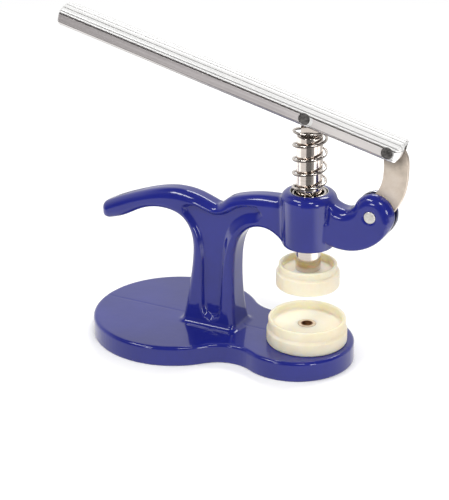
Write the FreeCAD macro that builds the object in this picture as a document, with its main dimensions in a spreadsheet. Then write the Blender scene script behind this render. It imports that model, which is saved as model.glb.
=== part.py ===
"""Watch case press, modelled as the separate pieces it comes apart into.

Frame: origin on the plunger's axis at the underside of the base, +Z up, +X towards the nose that
carries the link, and the long end of the handle towards -X. The press is drawn at rest, with the
plunger up. Lengths are millimetres.
"""
import FreeCAD, Part
import math
import os
from FreeCAD import Placement, Rotation, Vector

SIZES = [
    # alias, value, what it is
    ("base_thickness", 10.6, "keyhole base plate"),
    ("base_edge_round", 2.0, "rounding of the base's top edge"),
    ("heel_centre", -77.5, "x of the large lobe"),
    ("heel_radius", 45.5, "large lobe under the horn"),
    ("toe_centre", -6.0, "x of the small lobe"),
    ("toe_radius", 30.6, "small lobe under the plunger"),
    ("waist_radius", 20.0, "hollow arcs between the lobes"),
    ("web_thickness", 14.4, "column, horn and arm, across y"),
    ("web_round", 3.0, "rounding of the web's outer edges"),
    ("panel_depth", 2.0, "recess in each side of the column"),
    ("head_bottom", 64.5, "underside of the plunger boss"),
    ("head_top", 93.6, "top of the plunger boss"),
    ("head_low_radius", 13.3, "boss radius at the underside"),
    ("head_high_radius", 14.2, "boss radius below the top rounding"),
    ("head_round", 4.0, "rounding of the boss's top"),
    ("guide_radius", 6.55, "bore that the plunger slides in"),
    ("seat_radius", 9.3, "counterbore that the spring stands in"),
    ("seat_depth", 2.4, "depth of that counterbore"),
    ("nose_thickness", 15.0, "nose, across y"),
    ("nose_round", 1.8, "rounding of the nose's edges"),
    ("nose_slot", 3.2, "slot for the link"),
    ("nose_pin_x", 35.43, "link pivot in the nose"),
    ("nose_pin_height", 87.79, "link pivot in the nose"),
    ("pin_radius", 3.0, "all three pivot pins"),
    ("press_gap", 0.01, "radial gap of a pin pressed in its hole"),
    ("running_gap", 0.05, "radial gap of a piece that turns on a pin"),
    ("loose_gap", 0.62, "radial gap of the link round the nose pin"),
    ("pin_length", 15.4, "pins in the handle"),
    ("pivot_height", 133.4, "plunger pin above the table"),
    ("handle_tilt", 14.0, "handle's slope at rest, degrees"),
    ("handle_tail", 144.5, "plunger pin to the handle's long end"),
    ("handle_front", 50.8, "plunger pin to the handle's short end"),
    ("pin_spacing", 44.67, "plunger pin to link pin"),
    ("handle_half_width", 7.9, "half the handle across y"),
    ("handle_under", 3.9, "pin line to the handle's underside"),
    ("handle_wall_top", 2.6, "pin line to the top of the flat sides"),
    ("handle_crown", 6.5, "pin line to the crown"),
    ("handle_bevel", 0.9, "bevel along the underside"),
    ("rib_groove", 0.45, "depth of the grooves between the ribs"),
    ("rib_angle", 14.9, "step from groove to groove, degrees"),
    ("handle_end_radius", 14.0, "plan rounding of the short end"),
    ("handle_slot", 3.2, "slot for the tang and the link"),
    ("handle_slot_roof", 4.9, "pin line to the slot's roof"),
    ("handle_slot_back", 9.0, "slot's reach behind the plunger pin"),
    ("spotface_radius", 3.8, "machined ring round each pin"),
    ("spotface_depth", 0.3, "depth of that ring"),
    ("plunger_radius", 6.475, "plunger"),
    ("plunger_foot", 51.0, "lower end of the plunger"),
    ("plunger_shoulder", 123.0, "top of the full diameter"),
    ("tang_thickness", 2.9, "flat tang on top of the plunger"),
    ("tang_half_width", 4.5, "tang, and its rounded top"),
    ("stud_radius", 2.95, "M6 stud and base screw"),
    ("thread_radius", 3.0, "M6 thread in the brass inserts"),
    ("stud_reach", 4.6, "stud below the plunger"),
    ("stud_grip", 12.0, "stud inside the plunger"),
    ("insert_radius", 4.8, "outside of the brass inserts"),
    ("upper_die_foot", 42.1, "rim that meets the watch"),
    ("upper_die_step", 50.0, "height where the die narrows"),
    ("upper_die_top", 54.4, "top rim of the upper die"),
    ("upper_die_radius", 16.35, "lower part of the upper die"),
    ("upper_die_neck", 15.0, "upper part of the upper die"),
    ("upper_cup_floor", 45.8, "floor of the cup that faces down"),
    ("die_wall", 1.8, "wall round the cups"),
    ("lower_die_height", 13.2, "lower die"),
    ("lower_die_step", 6.4, "height where the lower die narrows"),
    ("lower_die_radius", 21.0, "lower part of the lower die"),
    ("lower_die_neck", 20.1, "upper part of the lower die"),
    ("lower_cup_depth", 4.0, "cup that faces up"),
    ("link_thickness", 2.5, "link plate"),
    ("link_top_radius", 4.4, "link's rounded top round its pin"),
    ("link_foot_radius", 6.2, "link's rounded foot round the nose pin"),
    ("spring_wire", 1.4, "spring wire diameter"),
    ("spring_outside", 17.7, "spring outside diameter"),
    ("spring_top", 127.0, "where the spring meets the handle"),
    ("spring_pitch", 7.9, "rise of one working coil"),
    ("spring_closed_turns", 0.75, "closed coil at each end, in turns"),
    ("spring_start", 199.5, "where the wire's lower end lies, degrees round from +x"),
    ("screw_head_radius", 5.0, "M6 socket head under the base"),
    ("screw_head_height", 6.0, "that head"),
    ("screw_recess_radius", 5.4, "recess for the head"),
    ("screw_recess_depth", 6.4, "recess for the head"),
    ("screw_reach", 15.0, "tip of the base screw above the table"),
]

doc = FreeCAD.newDocument("WatchCasePress")
sheet = doc.addObject("Spreadsheet::Sheet", "Sizes")
for row, (alias, value, meaning) in enumerate(SIZES, start=1):
    sheet.set(f"A{row}", meaning)
    sheet.set(f"B{row}", str(value))
    sheet.setAlias(f"B{row}", alias)
doc.recompute()

nodes = []


def size(alias):
    """The number in the sheet's cell of this name."""
    return float(sheet.get(alias))


def bind(item, **expressions):
    """Tie properties to the sheet: a name is a property, with __ for a dot."""
    for name, text in expressions.items():
        item.setExpression(name.replace("__", "."), text)


def keep(item, node):
    """Name a finished piece, and list it for export."""
    item.Label = node
    nodes.append(item)
    return item


# ---- PartDesign helpers ------------------------------------------------------------------------

def segment(points, leave=None, arrive=None):
    """Two points make a line, three an arc through them, and more a smooth curve.

    A curve can be given the directions in which it leaves its first point and arrives at its last.
    """
    corners = [Vector(u, v, 0) for u, v in points]
    if len(corners) == 2:
        return Part.LineSegment(*corners)
    if len(corners) == 3:
        return Part.Arc(*corners)
    still = Vector(0, 0, 0)
    headings = [Vector(*leave, 0) if leave else still] + [still] * (len(corners) - 2)
    headings.append(Vector(*arrive, 0) if arrive else still)
    curve = Part.BSplineCurve()
    curve.interpolate(Points=corners, Tangents=headings, TangentFlags=[h.Length > 0 for h in headings])
    return curve


def on_arc(centre, radius, degrees):
    """A point on a circle, and the anticlockwise direction there."""
    across, up = math.cos(math.radians(degrees)), math.sin(math.radians(degrees))
    return (centre[0] + radius * across, centre[1] + radius * up), (-up, across)


def circle(u, v, radius):
    return Part.Circle(Vector(u, v, 0), Vector(0, 0, 1), radius)


def polygon(corners):
    """Closed outline of straight lines."""
    return [segment(pair) for pair in zip(corners, corners[1:] + corners[:1])]


def sketch(body, role, name, geometry, lift=None):
    """A sketch on one of the body's own planes, lifted along its normal by an expression."""
    item = body.newObject("Sketcher::SketchObject", name)
    plane = next(f for f in body.Origin.OriginFeatures if f.Role == role)
    item.AttachmentSupport = [(plane, "")]
    item.MapMode = "FlatFace"
    for curve in geometry:
        item.addGeometry(curve, False)
    if lift:
        bind(item, AttachmentOffset__Base__z=lift)
    return item


def extrude(body, kind, profile, name, length, side="Symmetric", reverse=False):
    """A Pad or a Pocket of a sketch; length is an expression on the sheet."""
    item = body.newObject(f"PartDesign::{kind}", name)
    item.Profile = profile
    item.SideType = side
    item.Reversed = reverse
    bind(item, Length=length)
    doc.recompute()
    return item


def turn(body, kind, profile, name):
    """A Revolution or a Groove of a sketch about the sketch's upright axis."""
    item = body.newObject(f"PartDesign::{kind}", name)
    item.Profile = profile
    item.ReferenceAxis = (profile, ["V_Axis"])
    item.Angle = 360
    doc.recompute()
    return item


def fillet(body, base, name, radius, wanted):
    """Round the edges of base whose points, sampled between their ends, all satisfy wanted(point)."""
    names = []
    for index, edge in enumerate(base.Shape.Edges, start=1):
        low, high = edge.ParameterRange
        samples = [edge.valueAt(low + (high - low) * k / 4) for k in (1, 2, 3)]
        if all(wanted(p) for p in samples):
            names.append(f"Edge{index}")
    item = body.newObject("PartDesign::Fillet", name)
    item.Base = (base, names)
    bind(item, Radius=radius)
    doc.recompute()
    return item


# ---- Frame casting -----------------------------------------------------------------------------

def keyhole_outline():
    """Two lobes joined by hollow arcs that are tangent to both."""
    heel, toe = size("heel_centre"), size("toe_centre")
    big, small, hollow = size("heel_radius"), size("toe_radius"), size("waist_radius")
    span = toe - heel
    along = (span ** 2 + (big + hollow) ** 2 - (small + hollow) ** 2) / (2 * span)
    centre = Vector(heel + along, math.sqrt((big + hollow) ** 2 - along ** 2), 0)
    touch_big = Vector(heel, 0, 0) + (centre - Vector(heel, 0, 0)) * (big / (big + hollow))
    touch_small = Vector(toe, 0, 0) + (centre - Vector(toe, 0, 0)) * (small / (small + hollow))
    top = [(touch_big.x, touch_big.y), (centre.x, centre.y - hollow), (touch_small.x, touch_small.y)]
    bottom = [(x, -y) for x, y in top]
    return [
        segment(top),
        segment([top[2], (toe + small, 0), bottom[2]]),
        segment(bottom),
        segment([bottom[0], (heel - big, 0), top[0]]),
    ]


def web_outline():
    """Column, horn and arm in one side view; its open ends lie inside the boss and the base."""
    tip_centre, tip_radius = (-115.6, 64.7), 4.6
    tip_under, direction = on_arc(tip_centre, tip_radius, -75)
    into_tip = (-direction[0], -direction[1])
    tip_end, _ = on_arc(tip_centre, tip_radius, 180)
    tip_over, direction = on_arc(tip_centre, tip_radius, 118)
    out_of_tip = (-direction[0], -direction[1])
    valley_centre, valley_radius = (-50.9, 81.9), 3.6
    valley_left, into_valley = on_arc(valley_centre, valley_radius, -108)
    valley_floor, _ = on_arc(valley_centre, valley_radius, -80)
    valley_right, out_of_valley = on_arc(valley_centre, valley_radius, -50)
    back = [(-70.9, 4), (-68.4, 16), (-65.4, 36), (-63.9, 50), (-65, 61), (-70, 68.4), (-81, 71.6),
            (-94.5, 69), (-107, 62.6), tip_under]
    crest = [tip_over, (-99.5, 76.8), (-87, 81), (-73, 83.2), (-61, 81.6), valley_left]
    arm_top = [valley_right, (-44.4, 82.7), (-38, 85.4), (-24, 88.1), (-6, 88.6)]
    arm_under = [(-6, 65.5), (-10, 65.3), (-13.5, 66.8), (-18, 69.7), (-24, 71), (-30.5, 69.3),
                 (-35.6, 64.5), (-38.8, 56), (-39.8, 44), (-39.6, 28), (-38.4, 15), (-36.2, 4)]
    return [
        segment(back, arrive=into_tip),
        segment([tip_under, tip_end, tip_over]),
        segment(crest, leave=out_of_tip, arrive=into_valley),
        segment([valley_left, valley_floor, valley_right]),
        segment(arm_top, leave=out_of_valley),
        segment([arm_top[-1], arm_under[0]]),
        segment(arm_under),
        segment([arm_under[-1], back[0]]),
    ]


def panel_outline():
    """Y-shaped recess: up the column, with one lobe to the horn and one along the arm."""
    horn_side = [(-57, 20), (-57.6, 40), (-59, 57), (-63, 66), (-68, 72.6)]
    crown = [(-66, 76.4), (-57.4, 75.2), (-50, 74), (-44, 76), (-37.5, 80), (-31, 81.8), (-26, 82.2)]
    arm_side = [(-26, 76), (-32, 74.4), (-38, 70), (-43, 62), (-45.6, 48), (-46.4, 20)]
    return [
        segment(horn_side),
        segment([horn_side[-1], (-68.4, 75.2), crown[0]]),
        segment(crown),
        segment([crown[-1], (-23.6, 79.1), arm_side[0]]),
        segment(arm_side),
        segment([arm_side[-1], (-51.7, 14.8), horn_side[0]]),
    ]


def head_outline():
    """Half section of the boss, from the axis out."""
    low, high, blend = size("head_bottom"), size("head_top"), size("head_round")
    foot, rim = size("head_low_radius"), size("head_high_radius")
    bend = blend * math.cos(math.pi / 4)
    centre = (rim - blend, high - blend)
    return [
        segment([(0, low), (foot, low)]),
        segment([(foot, low), (rim, centre[1])]),
        segment([(rim, centre[1]), (centre[0] + bend, centre[1] + bend), (centre[0], high)]),
        segment([(centre[0], high), (0, high)]),
        segment([(0, high), (0, low)]),
    ]


def sweep(centre, radius, start, end):
    """Arc of a circle between two angles."""
    return segment([on_arc(centre, radius, angle)[0] for angle in (start, (start + end) / 2, end)])


def nose_outline():
    """Hooked nose in side view: hollow saddle, round top, and a long curve back under the boss."""
    crown, crown_radius = Vector(36, 88, 0), 10.7
    floor_x, floor = 20.5, 88.3
    run, step = crown.x - floor_x, floor - crown.y
    saddle_radius = (run ** 2 + step ** 2 - crown_radius ** 2) / (2 * (crown_radius - step))
    saddle = Vector(floor_x, floor + saddle_radius, 0)
    back_radius = 10.5
    back = Vector(floor_x, floor + back_radius, 0)
    under = Vector(21.7, 93.9, 0)
    to_crown, past_crown = crown - saddle, crown - under
    under_radius = past_crown.Length + crown_radius
    rise = math.degrees(math.atan2(to_crown.y, to_crown.x))
    drop = math.degrees(math.atan2(past_crown.y, past_crown.x))
    behind, below = 220, -120
    start = on_arc(back, back_radius, behind)[0]
    end = on_arc(under, under_radius, below)[0]
    return [
        sweep(back, back_radius, behind, 270),
        sweep(saddle, saddle_radius, -90, rise),
        sweep(crown, crown_radius, rise + 180, drop),
        sweep(under, under_radius, drop, below),
        segment([end, start]),
    ]


def nose_slot_outline():
    """Room for the link's foot and its swing, open to the top and the front."""
    x, z, reach = size("nose_pin_x"), size("nose_pin_height"), size("link_foot_radius") + 1.2
    behind, floor, beyond, above = x - reach, z - reach, x + 2 * reach, z + 2 * reach
    bend = reach * math.cos(math.pi / 4)
    return [
        segment([(behind, above), (behind, z)]),
        segment([(behind, z), (x - bend, z - bend), (x, floor)]),
        segment([(x, floor), (beyond, floor)]),
        segment([(beyond, floor), (beyond, above)]),
        segment([(beyond, above), (behind, above)]),
    ]


def frame_casting():
    body = doc.addObject("PartDesign::Body", "FrameCasting")
    half_web, top = size("web_thickness") / 2, size("base_thickness")

    web = extrude(body, "Pad", sketch(body, "XZ_Plane", "WebOutline", web_outline()),
                  "Web", "Sizes.web_thickness")
    fillet(body, web, "WebEdges", "Sizes.web_round",
           lambda p: abs(abs(p.y) - half_web) < 1e-6 and p.z > 5 and p.x < -6.1)
    base = extrude(body, "Pad", sketch(body, "XY_Plane", "KeyholeOutline", keyhole_outline()),
                   "BasePlate", "Sizes.base_thickness", side="One side")
    fillet(body, base, "BaseEdge", "Sizes.base_edge_round",
           lambda p: abs(p.z - top) < 1e-6 and (abs(p.y) > half_web + 1 or not -75 < p.x < -30))
    for side, name in ((1, "Far"), (-1, "Near")):
        panel = sketch(body, "XZ_Plane", f"Panel{name}Outline", panel_outline(),
                       lift=f"{-side} * Sizes.web_thickness / 2")
        extrude(body, "Pocket", panel, f"Panel{name}", "Sizes.panel_depth", side="One side", reverse=side > 0)

    turn(body, "Revolution", sketch(body, "XZ_Plane", "HeadOutline", head_outline()), "Head")
    nose = extrude(body, "Pad", sketch(body, "XZ_Plane", "NoseOutline", nose_outline()),
                   "Nose", "Sizes.nose_thickness")
    half_nose = size("nose_thickness") / 2
    fillet(body, nose, "NoseEdges", "Sizes.nose_round",
           lambda p: abs(abs(p.y) - half_nose) < 1e-6 and p.x > 13)

    low, high, seat = size("head_bottom") - 1, size("head_top") + 1, size("head_top") - size("seat_depth")
    guide, spring_seat = size("guide_radius"), size("seat_radius")
    bore = [(0, low), (guide, low), (guide, seat), (spring_seat, seat), (spring_seat, high), (0, high)]
    turn(body, "Groove", sketch(body, "XZ_Plane", "BoreOutline", polygon(bore)), "PlungerBore")

    recess, shank = size("screw_recess_radius"), size("thread_radius") + 0.3
    deep = size("screw_recess_depth")
    hole = [(0, -1), (recess, -1), (recess, deep), (shank, deep), (shank, top + 1), (0, top + 1)]
    turn(body, "Groove", sketch(body, "XZ_Plane", "ScrewHoleOutline", polygon(hole)), "ScrewHole")

    extrude(body, "Pocket", sketch(body, "XZ_Plane", "NoseSlotOutline", nose_slot_outline()),
            "NoseSlot", "Sizes.nose_slot")
    pin = circle(size("nose_pin_x"), size("nose_pin_height"), size("pin_radius") + size("press_gap"))
    extrude(body, "Pocket", sketch(body, "XZ_Plane", "NosePinOutline", [pin]),
            "NosePinHole", "Sizes.nose_thickness + 2")
    return keep(body, "frame_casting")


# ---- Handle ------------------------------------------------------------------------------------

def handle_section():
    """D-shaped extrusion: flat sides, a groove above each, and a ribbed crown."""
    half, under, bevel = size("handle_half_width"), size("handle_under"), size("handle_bevel")
    wall, crown, notch = size("handle_wall_top"), size("handle_crown"), size("rib_groove")
    rise = crown - wall
    radius = (half ** 2 + rise ** 2) / (2 * rise)
    step, lip = math.radians(size("rib_angle")), math.radians(1.6)
    edge = math.asin(half / radius)

    def on_crown(angle, depth=0.0):
        reach = radius - depth
        return (reach * math.sin(angle), crown - radius + reach * math.cos(angle))

    grooves = [k * step for k in range(-3, 4)]
    outline = []
    start = -edge
    for groove in grooves:
        outline.append([on_crown(start), on_crown((start + groove - lip) / 2), on_crown(groove - lip)])
        outline.append([on_crown(groove - lip), on_crown(groove, notch)])
        outline.append([on_crown(groove, notch), on_crown(groove + lip)])
        start = groove + lip
    outline.append([on_crown(start), on_crown((start + edge) / 2), on_crown(edge)])
    right = [on_crown(edge), (half - notch, wall - notch), (half, wall - 2 * notch),
             (half, -under + bevel), (half - bevel, -under)]
    left = [(-y, z) for y, z in reversed(right)]
    side = right + left
    outline += [list(pair) for pair in zip(side, side[1:])]
    return [segment(points) for points in outline]


def handle():
    body = doc.addObject("PartDesign::Body", "Handle")
    section = sketch(body, "YZ_Plane", "HandleSection", handle_section(), lift="-Sizes.handle_tail")
    extrude(body, "Pad", section, "Extrusion", "Sizes.handle_tail + Sizes.handle_front", side="One side")

    front, reach, beyond = size("handle_front"), size("handle_end_radius"), size("handle_half_width") + 0.6
    corner = front - reach + math.sqrt(reach ** 2 - beyond ** 2)
    nose = [(corner, beyond), (front, 0), (corner, -beyond)]
    cut = [segment(nose), segment([nose[2], (front + 1, -beyond)]),
           segment([(front + 1, -beyond), (front + 1, beyond)]), segment([(front + 1, beyond), nose[0]])]
    extrude(body, "Pocket", sketch(body, "XY_Plane", "EndOutline", cut), "RoundEnd", "4 * Sizes.handle_crown")

    half, back = size("handle_slot") / 2, -size("handle_slot_back")
    slot = [segment([(back, half), (back - half, 0), (back, -half)]),
            segment([(back, -half), (front + 1, -half)]),
            segment([(front + 1, -half), (front + 1, half)]), segment([(front + 1, half), (back, half)])]
    extrude(body, "Pocket", sketch(body, "XY_Plane", "SlotOutline", slot, lift="Sizes.handle_slot_roof"),
            "Slot", "Sizes.handle_slot_roof + Sizes.handle_under + 1", side="One side")

    pivots = [(0, 0), (size("pin_spacing"), 0)]
    hole = size("pin_radius") + size("press_gap")
    extrude(body, "Pocket", sketch(body, "XZ_Plane", "PinOutline", [circle(u, v, hole) for u, v in pivots]),
            "PinHoles", "2 * Sizes.handle_half_width + 2")
    for side, name in ((1, "Far"), (-1, "Near")):
        rings = [circle(u, v, size("spotface_radius")) for u, v in pivots]
        face = sketch(body, "XZ_Plane", f"Spotface{name}Outline", rings,
                      lift=f"{-side} * (Sizes.handle_half_width - Sizes.spotface_depth)")
        extrude(body, "Pocket", face, f"Spotface{name}", "1", side="One side", reverse=side < 0)

    body.Placement = Placement(Vector(0, 0, size("pivot_height")),
                               Rotation(Vector(0, 1, 0), size("handle_tilt")))
    return keep(body, "handle")


# ---- Link --------------------------------------------------------------------------------------

def link_pin():
    """Where the link hangs on the handle, in the side view."""
    tilt, span = math.radians(size("handle_tilt")), size("pin_spacing")
    return span * math.cos(tilt), size("pivot_height") - span * math.sin(tilt)


def link_plate():
    """Bowed plate: round ends about its two pins, joined by a hollow and a crowned edge."""
    body = doc.addObject("PartDesign::Body", "LinkPlate")
    top_x, top_z = link_pin()
    foot_x, foot_z = size("nose_pin_x"), size("nose_pin_height")
    top, foot = size("link_top_radius"), size("link_foot_radius")
    top_left = (top_x - 4.3, top_z - 0.9)
    top_right = (top_x + 3.1, top_z + 3.1)
    foot_left = (foot_x - foot, foot_z + 0.4)
    foot_right = (foot_x + 4.4, foot_z - 4.4)
    outline = [
        segment([top_left, (top_x - 1.2, top_z + math.sqrt(top ** 2 - 1.44)), top_right]),
        segment([top_right, (50.6, 121.2), (52, 112.8), (50.9, 101.6), (47.2, 92.6), foot_right]),
        segment([foot_right, (foot_x, foot_z - foot), foot_left]),
        segment([foot_left, (31.6, 93.2), (36.8, 100), (39.3, 108), (39.4, 116), top_left]),
    ]
    extrude(body, "Pad", sketch(body, "XZ_Plane", "LinkOutline", outline), "Plate", "Sizes.link_thickness")
    holes = [circle(top_x, top_z, size("pin_radius") + size("running_gap")),
             circle(foot_x, foot_z, size("pin_radius") + size("loose_gap"))]
    extrude(body, "Pocket", sketch(body, "XZ_Plane", "LinkHoles", holes), "PinHoles",
            "Sizes.link_thickness + 2")
    return keep(body, "link_plate")


# ---- Turned pieces, from Part primitives --------------------------------------------------------

def cylinder(name, radius, bottom, top):
    """Upright cylinder on the plunger's axis; all three sizes are expressions."""
    item = doc.addObject("Part::Cylinder", name)
    bind(item, Radius=radius, Height=f"({top}) - ({bottom})", Placement__Base__z=bottom)
    return item


def join(name, *pieces):
    item = doc.addObject("Part::MultiFuse", name)
    item.Shapes = list(pieces)
    return item


def cut(name, base, *tools):
    item = doc.addObject("Part::Cut", name)
    item.Base = base
    item.Tool = tools[0] if len(tools) == 1 else join(f"{name}Tools", *tools)
    return item


def pin(node, length):
    """Pivot pin across the press, centred on y = 0."""
    item = doc.addObject("Part::Cylinder", node.title().replace("_", ""))
    bind(item, Radius="Sizes.pin_radius", Height=length)
    item.Placement.Rotation = Rotation(Vector(1, 0, 0), 90)
    bind(item, Placement__Base__y=f"({length}) / 2")
    return keep(item, node)


def pins():
    tilt = "Sizes.handle_tilt * 1 deg"
    bind(pin("plunger_pin", "Sizes.pin_length"), Placement__Base__z="Sizes.pivot_height")
    bind(pin("handle_link_pin", "Sizes.pin_length"),
         Placement__Base__x=f"Sizes.pin_spacing * cos({tilt})",
         Placement__Base__z=f"Sizes.pivot_height - Sizes.pin_spacing * sin({tilt})")
    bind(pin("nose_pin", "Sizes.nose_thickness"),
         Placement__Base__x="Sizes.nose_pin_x", Placement__Base__z="Sizes.nose_pin_height")


def plunger():
    """Round bar, with a flat tang on top and a blind hole for the stud below."""
    bar = cylinder("PlungerBar", "Sizes.plunger_radius", "Sizes.plunger_foot", "Sizes.plunger_shoulder")
    chamfered = doc.addObject("Part::Chamfer", "PlungerEnds")
    chamfered.Base = bar
    doc.recompute()
    rims = [k for k, edge in enumerate(bar.Shape.Edges, start=1) if edge.isClosed()]
    chamfered.Edges = [(k, 0.6, 0.6) for k in rims]

    blade = doc.addObject("Part::Box", "TangBlade")
    bind(blade, Length="2 * Sizes.tang_half_width", Width="Sizes.tang_thickness",
         Height="Sizes.pivot_height - Sizes.plunger_shoulder + 2",
         Placement__Base__x="-Sizes.tang_half_width", Placement__Base__y="-Sizes.tang_thickness / 2",
         Placement__Base__z="Sizes.plunger_shoulder - 2")
    crown = doc.addObject("Part::Cylinder", "TangCrown")
    crown.Placement.Rotation = Rotation(Vector(1, 0, 0), 90)
    bind(crown, Radius="Sizes.tang_half_width", Height="Sizes.tang_thickness",
         Placement__Base__y="Sizes.tang_thickness / 2", Placement__Base__z="Sizes.pivot_height")
    eye = doc.addObject("Part::Cylinder", "TangEye")
    eye.Placement.Rotation = Rotation(Vector(1, 0, 0), 90)
    bind(eye, Radius="Sizes.pin_radius + Sizes.running_gap", Height="Sizes.tang_thickness + 2",
         Placement__Base__y="Sizes.tang_thickness / 2 + 1", Placement__Base__z="Sizes.pivot_height")
    socket = cylinder("StudSocket", "Sizes.stud_radius + Sizes.press_gap",
                      "Sizes.plunger_foot - 1", "Sizes.plunger_foot + Sizes.stud_grip")
    keep(cut("Plunger", join("PlungerSolid", chamfered, blade, crown), eye, socket), "plunger")
    keep(cylinder("UpperDieStud", "Sizes.stud_radius", "Sizes.plunger_foot - Sizes.stud_reach",
                  "Sizes.plunger_foot + Sizes.stud_grip"), "upper_die_stud")


def upper_die():
    """Nylon die, cupped on both faces, that screws up against the plunger's end."""
    foot, step, top = "Sizes.upper_die_foot", "Sizes.upper_die_step", "Sizes.upper_die_top"
    solid = join("UpperDieSolid", cylinder("UpperDieRim", "Sizes.upper_die_radius", foot, step),
                 cylinder("UpperDieNeck", "Sizes.upper_die_neck", step, top))
    cup = cylinder("UpperDieCup", "Sizes.upper_die_radius - Sizes.die_wall", f"{foot} - 1",
                   "Sizes.upper_cup_floor")
    back = cylinder("UpperDieBack", "Sizes.upper_die_neck - Sizes.die_wall", "Sizes.plunger_foot",
                    f"{top} + 1")
    seat = cylinder("UpperDieSeat", "Sizes.insert_radius", "Sizes.upper_cup_floor - 1", "Sizes.plunger_foot")
    keep(cut("UpperDie", solid, cup, back, seat), "upper_die")
    ring = cylinder("UpperInsertRing", "Sizes.insert_radius", "Sizes.upper_cup_floor", "Sizes.plunger_foot")
    bore = cylinder("UpperInsertBore", "Sizes.thread_radius", "Sizes.upper_cup_floor - 1",
                    "Sizes.plunger_foot + 1")
    keep(cut("UpperDieInsert", ring, bore), "upper_die_insert")


def lower_die():
    """Wider nylon die, flat below and cupped above, that stands on the base."""
    foot = "Sizes.base_thickness"
    step, top = f"{foot} + Sizes.lower_die_step", f"{foot} + Sizes.lower_die_height"
    floor = f"{top} - Sizes.lower_cup_depth"
    solid = join("LowerDieSolid", cylinder("LowerDieFoot", "Sizes.lower_die_radius", foot, step),
                 cylinder("LowerDieNeck", "Sizes.lower_die_neck", step, top))
    cup = cylinder("LowerDieCup", "Sizes.lower_die_neck - Sizes.die_wall", floor, f"{top} + 1")
    seat = cylinder("LowerDieSeat", "Sizes.insert_radius", f"{foot} - 1", f"{floor} + 1")
    keep(cut("LowerDie", solid, cup, seat), "lower_die")
    ring = cylinder("LowerInsertRing", "Sizes.insert_radius", foot, floor)
    bore = cylinder("LowerInsertBore", "Sizes.thread_radius", f"{foot} - 1", f"{floor} + 1")
    keep(cut("LowerDieInsert", ring, bore), "lower_die_insert")


def base_screw():
    """Socket-head screw from the recess under the base, up into the lower die."""
    seat = "Sizes.screw_recess_depth"
    head = cylinder("ScrewHead", "Sizes.screw_head_radius", f"{seat} - Sizes.screw_head_height", seat)
    shank = cylinder("ScrewShank", "Sizes.stud_radius", f"{seat} - 1", "Sizes.screw_reach")
    key = doc.addObject("Part::Prism", "ScrewKey")
    key.Polygon = 6
    bind(key, Circumradius="Sizes.stud_radius", Height="4",
         Placement__Base__z=f"{seat} - Sizes.screw_head_height - 1")
    keep(cut("BaseScrew", join("ScrewSolid", head, shank), key), "base_screw")


def coil_points(chords=16):
    """Centre line of the spring wire: closed end coils and an even pitch between, in straight chords."""
    wire, closed, pitch = size("spring_wire"), size("spring_closed_turns"), size("spring_pitch")
    reach, bottom = (size("spring_outside") - wire) / 2, size("head_top") - size("seat_depth") + wire / 2
    height, start = size("spring_top") - wire / 2 - bottom, math.radians(size("spring_start"))
    working = (height - 2 * closed * wire) / pitch
    count = round((working + 2 * closed) * chords)
    points = []
    for k in range(count + 1):
        turn = k * (working + 2 * closed) / count
        lower, upper = min(turn, closed), max(turn - closed - working, 0)
        rise = (lower + upper) * wire + (turn - lower - upper) * pitch
        angle = start + 2 * math.pi * turn
        points.append(Vector(reach * math.cos(angle), reach * math.sin(angle), bottom + rise))
    return points


def return_spring():
    """Round wire from the counterbore's floor to the handle's underside."""
    coil = doc.addObject("Part::Polygon", "SpringCoil")
    coil.Nodes = coil_points()
    section = doc.addObject("Part::Circle", "SpringSection")
    bind(section, Radius="Sizes.spring_wire / 2")
    start, following = coil.Nodes[:2]
    section.Placement = Placement(start, Rotation(Vector(0, 0, 1), following - start))
    wire = doc.addObject("Part::Sweep", "ReturnSpring")
    wire.Sections = [section]
    wire.Spine = (coil, [])
    wire.Solid = True
    wire.Transition = "Right corner"
    return keep(wire, "return_spring")


# ---- Build, check, write -----------------------------------------------------------------------

frame_casting()
handle()
link_plate()
pins()
plunger()
upper_die()
lower_die()
base_screw()
return_spring()
doc.recompute()

for item in doc.Objects:
    if "Invalid" in item.State or "Error" in item.State:
        raise RuntimeError(f"{item.Name} failed: {item.State}")
for item in nodes:
    if item.Shape.isNull() or not item.Shape.isValid():
        raise RuntimeError(f"{item.Label} has no valid shape")

os.makedirs("parts", exist_ok=True)
for item in nodes:
    item.Shape.exportStep(f"parts/{item.Label}.step")
    print(f"{item.Label}: {item.Shape.Volume:.1f} mm3, solids {len(item.Shape.Solids)}")
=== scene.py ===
import math

import bmesh
import bpy
import numpy as np
import openvdb
from mathutils import Matrix, Vector


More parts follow.
